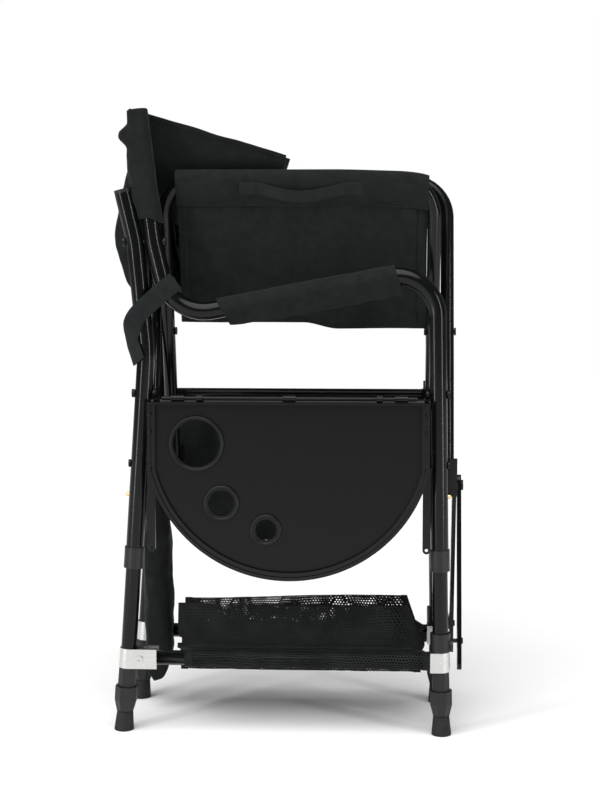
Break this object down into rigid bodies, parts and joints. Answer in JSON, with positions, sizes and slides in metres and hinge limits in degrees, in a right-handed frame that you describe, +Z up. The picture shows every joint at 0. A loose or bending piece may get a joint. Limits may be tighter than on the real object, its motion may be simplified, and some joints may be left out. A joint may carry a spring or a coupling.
{
  "type": "folding director chair",
  "caption": "Folding director chair, stored folded, with scissor seat frame, fold-out side table, mesh shelf, footrest bar and telescoping legs.",
  "frame": {"origin": "on the ground under the middle of the folded chair's bounding box", "axes": "+X to the front of the seat, -Y to the side with the table, +Z up"},
  "size_m": [0.5079, 0.2086, 0.8757],
  "materials": {
    "black_steel": "gloss black powder coat",
    "zinc_steel": "bright zinc plate",
    "black_fittings": "black hardware",
    "moulded_plastic": "black moulded plastic, fine texture",
    "rubber": "black rubber",
    "brass": "plain brass",
    "canvas": "black woven polyester canvas",
    "mesh": "black open mesh",
    "webbing": "black flat webbing",
    "table_top": "satin black painted aluminium panel",
    "table_edge": "gloss black painted aluminium rim"
  },
  "bodies": {
    "near_side": {"near_arm_tube": "black_steel", "near_rear_leg_tube": "black_steel", "near_tube_ends": "moulded_plastic", "near_frame_hardware": "black_fittings", "near_back_sleeve": "canvas", "near_arm_pad": "canvas", "near_strap": "webbing"},
    "far_side": {"far_arm_tube": "black_steel", "far_rear_leg_tube": "black_steel", "far_tube_ends": "moulded_plastic", "far_frame_hardware": "black_fittings", "far_back_sleeve": "canvas", "far_arm_pad": "canvas", "far_pouches": "canvas"},
    "outer_frame": {"outer_seat_frame": "black_steel", "far_seat_half": "canvas", "scissor_pins": "black_fittings"},
    "inner_frame": {"inner_seat_frame": "black_steel", "near_seat_half": "canvas"},
    "table": {"table_panel": "table_top", "table_rim": "table_edge", "table_fittings": "black_fittings"},
    "table_rear_strut": {"table_rear_strut": "black_fittings"},
    "table_front_strut": {"table_front_strut": "black_fittings"},
    "near_back": {"near_back_panel": "canvas"},
    "near_rear_leg": {"near_rear_lower_leg": "black_steel", "near_rear_bracket": "zinc_steel", "near_rear_fittings": "moulded_plastic"},
    "near_rear_button": {"near_rear_button": "brass"},
    "near_rear_foot": {"near_rear_foot": "rubber"},
    "near_rear_lock_nut": {"near_rear_lock_nut": "moulded_plastic"},
    "near_front_leg": {"near_front_lower_leg": "black_steel", "near_front_bracket": "zinc_steel", "near_front_fittings": "moulded_plastic", "near_lower_rail": "black_steel"},
    "near_front_button": {"near_front_button": "brass"},
    "near_front_foot": {"near_front_foot": "rubber"},
    "near_front_lock_nut": {"near_front_lock_nut": "moulded_plastic"},
    "near_mesh_rise": {"near_mesh_rise": "mesh"},
    "near_mesh_fall": {"near_mesh_fall": "mesh"},
    "near_mesh_return": {"near_mesh_return": "mesh"},
    "near_footrest": {"near_footrest_link": "black_steel"},
    "far_back": {"far_back_panel": "canvas"},
    "far_rear_leg": {"far_rear_lower_leg": "black_steel", "far_rear_bracket": "zinc_steel", "far_rear_fittings": "moulded_plastic"},
    "far_rear_button": {"far_rear_button": "brass"},
    "far_rear_foot": {"far_rear_foot": "rubber"},
    "far_rear_lock_nut": {"far_rear_lock_nut": "moulded_plastic"},
    "far_front_leg": {"far_front_lower_leg": "black_steel", "far_front_bracket": "zinc_steel", "far_front_fittings": "moulded_plastic", "far_lower_rail": "black_steel"},
    "far_front_button": {"far_front_button": "brass"},
    "far_front_foot": {"far_front_foot": "rubber"},
    "far_front_lock_nut": {"far_front_lock_nut": "moulded_plastic"},
    "far_mesh_rise": {"far_mesh_rise": "mesh"},
    "far_mesh_fall": {"far_mesh_fall": "mesh"},
    "far_mesh_return": {"far_mesh_return": "mesh"},
    "far_footrest": {"far_footrest_link": "black_steel"}
  },
  "joints": [
    {"name": "seat_fold", "type": "hinge", "parent": "near_side", "child": "outer_frame", "pos_m": [0.0031, -0.0472, 0.35], "axis": [-1, 0, 0], "range_deg": [0, 63.5]},
    {"name": "scissor", "type": "hinge", "parent": "outer_frame", "child": "inner_frame", "pos_m": [0.0031, 0.0048, 0.5665], "axis": [-1, 0, 0], "range_deg": [-127.5, 0]},
    {"name": "far_fold", "type": "hinge", "parent": "inner_frame", "child": "far_side", "pos_m": [0.0031, 0.0568, 0.35], "axis": [-1, 0, 0], "range_deg": [0, 64]},
    {"name": "near_back_fold", "type": "hinge", "parent": "near_side", "child": "near_back", "pos_m": [-0.20254, -0.0117, 0.75543], "axis": [-0.1106, -0.3626, 0.9253], "range_deg": [0, 82.5]},
    {"name": "near_rear_leg_slide", "type": "slide", "parent": "near_side", "child": "near_rear_leg", "axis": [0.0688, 0, 0.9976], "range_m": [0, 0.046]},
    {"name": "near_rear_button_press", "type": "slide", "parent": "near_side", "child": "near_rear_button", "axis": [1, 0, 0], "range_m": [0, 0.003], "stiffness_N_per_m": 800, "springref_m": -0.002},
    {"name": "near_rear_foot_extend", "type": "slide", "parent": "near_rear_leg", "child": "near_rear_foot", "axis": [-0.0688, 0, -0.9976], "range_m": [0, 0.022]},
    {"name": "near_rear_lock_nut_turn", "type": "hinge", "parent": "near_rear_leg", "child": "near_rear_lock_nut", "pos_m": [-0.22695, -0.0752, 0.05], "axis": [0.0688, 0, 0.9976], "range_deg": [0, 120]},
    {"name": "near_front_leg_slide", "type": "slide", "parent": "near_side", "child": "near_front_leg", "axis": [-0.0175, 0, 0.9998], "range_m": [0, 0.045]},
    {"name": "near_front_button_press", "type": "slide", "parent": "near_side", "child": "near_front_button", "axis": [-1, 0, 0], "range_m": [0, 0.003], "stiffness_N_per_m": 800, "springref_m": -0.002},
    {"name": "near_front_foot_extend", "type": "slide", "parent": "near_front_leg", "child": "near_front_foot", "axis": [0.0175, 0, -0.9998], "range_m": [0, 0.022]},
    {"name": "near_front_lock_nut_turn", "type": "hinge", "parent": "near_front_leg", "child": "near_front_lock_nut", "pos_m": [0.22173, -0.0752, 0.05], "axis": [-0.0175, 0, 0.9998], "range_deg": [0, 120]},
    {"name": "near_mesh_rise_fold", "type": "hinge", "parent": "near_front_leg", "child": "near_mesh_rise", "pos_m": [0.0031, -0.0472, 0.113], "axis": [-1, 0, 0], "range_deg": [0, 64]},
    {"name": "near_mesh_fall_fold", "type": "hinge", "parent": "near_mesh_rise", "child": "near_mesh_fall", "pos_m": [0.0031, -0.03318, 0.17134], "axis": [1, 0, 0], "range_deg": [0, 127.5]},
    {"name": "near_mesh_return_fold", "type": "hinge", "parent": "near_mesh_fall", "child": "near_mesh_return", "pos_m": [0.0031, -0.00889, 0.07022], "axis": [-1, 0, 0], "range_deg": [0, 127.5]},
    {"name": "near_footrest_fold", "type": "hinge", "parent": "near_front_leg", "child": "near_footrest", "pos_m": [0.2331, -0.0472, 0.128], "axis": [-1, 0, 0], "range_deg": [0, 64]},
    {"name": "far_back_fold", "type": "hinge", "parent": "far_side", "child": "far_back", "pos_m": [-0.20254, 0.0213, 0.75543], "axis": [0.1106, -0.3626, -0.9253], "range_deg": [0, 82.5]},
    {"name": "far_rear_leg_slide", "type": "slide", "parent": "far_side", "child": "far_rear_leg", "axis": [0.0688, 0, 0.9976], "range_m": [0, 0.046]},
    {"name": "far_rear_button_press", "type": "slide", "parent": "far_side", "child": "far_rear_button", "axis": [1, 0, 0], "range_m": [0, 0.003], "stiffness_N_per_m": 800, "springref_m": -0.002},
    {"name": "far_rear_foot_extend", "type": "slide", "parent": "far_rear_leg", "child": "far_rear_foot", "axis": [-0.0688, 0, -0.9976], "range_m": [0, 0.022]},
    {"name": "far_rear_lock_nut_turn", "type": "hinge", "parent": "far_rear_leg", "child": "far_rear_lock_nut", "pos_m": [-0.22695, 0.0848, 0.05], "axis": [0.0688, 0, 0.9976], "range_deg": [0, 120]},
    {"name": "far_front_leg_slide", "type": "slide", "parent": "far_side", "child": "far_front_leg", "axis": [-0.0175, 0, 0.9998], "range_m": [0, 0.046]},
    {"name": "far_front_button_press", "type": "slide", "parent": "far_side", "child": "far_front_button", "axis": [-1, 0, 0], "range_m": [0, 0.003], "stiffness_N_per_m": 800, "springref_m": -0.002},
    {"name": "far_front_foot_extend", "type": "slide", "parent": "far_front_leg", "child": "far_front_foot", "axis": [0.0175, 0, -0.9998], "range_m": [0, 0.022]},
    {"name": "far_front_lock_nut_turn", "type": "hinge", "parent": "far_front_leg", "child": "far_front_lock_nut", "pos_m": [0.22173, 0.0848, 0.05], "axis": [-0.0175, 0, 0.9998], "range_deg": [0, 120]},
    {"name": "far_mesh_rise_fold", "type": "hinge", "parent": "far_front_leg", "child": "far_mesh_rise", "pos_m": [0.0031, 0.0568, 0.113], "axis": [1, 0, 0], "range_deg": [0, 64]},
    {"name": "far_mesh_fall_fold", "type": "hinge", "parent": "far_mesh_rise", "child": "far_mesh_fall", "pos_m": [0.0031, 0.04278, 0.17134], "axis": [-1, 0, 0], "range_deg": [0, 127.5]},
    {"name": "far_mesh_return_fold", "type": "hinge", "parent": "far_mesh_fall", "child": "far_mesh_return", "pos_m": [0.0031, 0.01849, 0.07022], "axis": [1, 0, 0], "range_deg": [0, 127.5]},
    {"name": "far_footrest_fold", "type": "hinge", "parent": "far_front_leg", "child": "far_footrest", "pos_m": [0.2331, 0.0568, 0.128], "axis": [1, 0, 0], "range_deg": [0, 64]},
    {"name": "table_hinge", "type": "hinge", "parent": "near_side", "child": "table", "pos_m": [0.0031, -0.0947, 0.478], "axis": [-1, 0, 0], "range_deg": [0, 90]},
    {"name": "table_rear_strut_swing", "type": "hinge", "parent": "table", "child": "table_rear_strut", "pos_m": [-0.1865, -0.0858, 0.379], "axis": [1, 0, 0], "range_deg": [0, 157]},
    {"name": "table_front_strut_swing", "type": "hinge", "parent": "table", "child": "table_front_strut", "pos_m": [0.1991, -0.0858, 0.379], "axis": [1, 0, 0], "range_deg": [0, 157]}
  ],
  "couplings": [
    {"joint": "scissor", "follows": "seat_fold", "ratio": -2},
    {"joint": "far_fold", "follows": "seat_fold", "ratio": 1},
    {"joint": "near_back_fold", "follows": "seat_fold", "ratio": 1.2913},
    {"joint": "near_rear_leg_slide", "follows": "near_front_leg_slide", "ratio": 1},
    {"joint": "near_mesh_rise_fold", "follows": "seat_fold", "ratio": 1},
    {"joint": "near_mesh_fall_fold", "follows": "seat_fold", "ratio": 2},
    {"joint": "near_mesh_return_fold", "follows": "seat_fold", "ratio": 2},
    {"joint": "near_footrest_fold", "follows": "seat_fold", "ratio": 1},
    {"joint": "far_back_fold", "follows": "seat_fold", "ratio": 1.2913},
    {"joint": "far_rear_leg_slide", "follows": "near_front_leg_slide", "ratio": 1},
    {"joint": "far_front_leg_slide", "follows": "near_front_leg_slide", "ratio": 1},
    {"joint": "far_mesh_rise_fold", "follows": "seat_fold", "ratio": 1},
    {"joint": "far_mesh_fall_fold", "follows": "seat_fold", "ratio": 2},
    {"joint": "far_mesh_return_fold", "follows": "seat_fold", "ratio": 2},
    {"joint": "far_footrest_fold", "follows": "seat_fold", "ratio": 1},
    {"joint": "table_rear_strut_swing", "follows": "table_hinge", "ratio": 1.7367},
    {"joint": "table_front_strut_swing", "follows": "table_hinge", "ratio": 1.7367}
  ]
}
